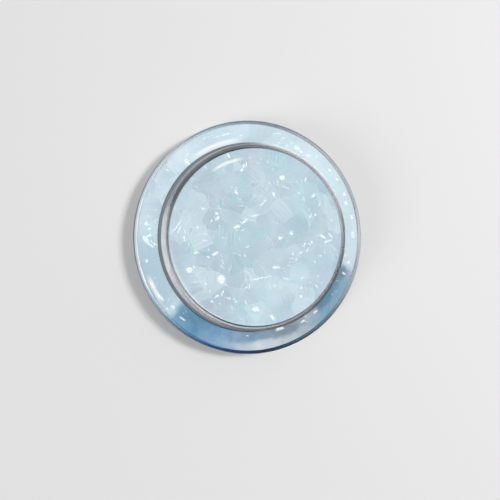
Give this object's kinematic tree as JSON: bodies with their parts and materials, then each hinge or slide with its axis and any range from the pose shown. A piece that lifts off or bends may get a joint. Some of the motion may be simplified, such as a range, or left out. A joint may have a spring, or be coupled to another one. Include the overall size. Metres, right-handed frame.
{
  "type": "magnetic phone ring holder",
  "caption": "Round clear-covered magnet base with pearl film, a turning cap on top and a metal finger ring that folds round the cap and swings up as grip or stand.",
  "frame": {"origin": "middle of the face that lies on the phone, on the turning axis", "axes": "+Z away from the phone along the turning axis, +X towards the hinge of the finger ring, ring folded"},
  "size_m": [0.056, 0.056, 0.0102],
  "materials": {
    "clear_acrylic": "polished",
    "pearl_film": "pearl",
    "turned_metal": "turned and buffed",
    "plated_casting": "turned and plated",
    "plain_steel": "plain",
    "magnet_plating": "nickel plated",
    "white_plastic": "moulded",
    "dark_plastic": "moulded",
    "bearing_plastic": "smooth",
    "bonding_tape": "tacky",
    "soft_pad": "satin"
  },
  "bodies": {
    "base": {"contact_pad": "soft_pad", "back_plate": "white_plastic", "base_frame": "dark_plastic", "magnet_yoke": "plain_steel", "base_film": "pearl_film", "base_cover": "clear_acrylic", "slide_washer": "bearing_plastic", "magnet_01": "magnet_plating", "magnet_02": "magnet_plating", "magnet_03": "magnet_plating", "magnet_04": "magnet_plating", "magnet_05": "magnet_plating", "magnet_06": "magnet_plating", "magnet_07": "magnet_plating", "magnet_08": "magnet_plating", "magnet_09": "magnet_plating", "magnet_10": "magnet_plating", "magnet_11": "magnet_plating", "magnet_12": "magnet_plating", "magnet_13": "magnet_plating", "magnet_14": "magnet_plating", "magnet_15": "magnet_plating", "magnet_16": "magnet_plating"},
    "turntable": {"swivel_plate": "plated_casting", "retaining_clip": "plain_steel", "disc_spring": "plain_steel", "hinge_pin": "plain_steel", "cap_tape": "bonding_tape", "cap_film": "pearl_film", "cap_lens": "clear_acrylic"},
    "ring": {"finger_ring": "turned_metal"}
  },
  "joints": [
    {"name": "swivel", "type": "hinge", "parent": "base", "child": "turntable", "pos_m": [0, 0, 0], "axis": [0, 0, 1], "continuous": true},
    {"name": "ring_flip", "type": "hinge", "parent": "turntable", "child": "ring", "pos_m": [0.0209, 0, 0.00575], "axis": [0, 1, 0], "range_deg": [0, 90]}
  ]
}
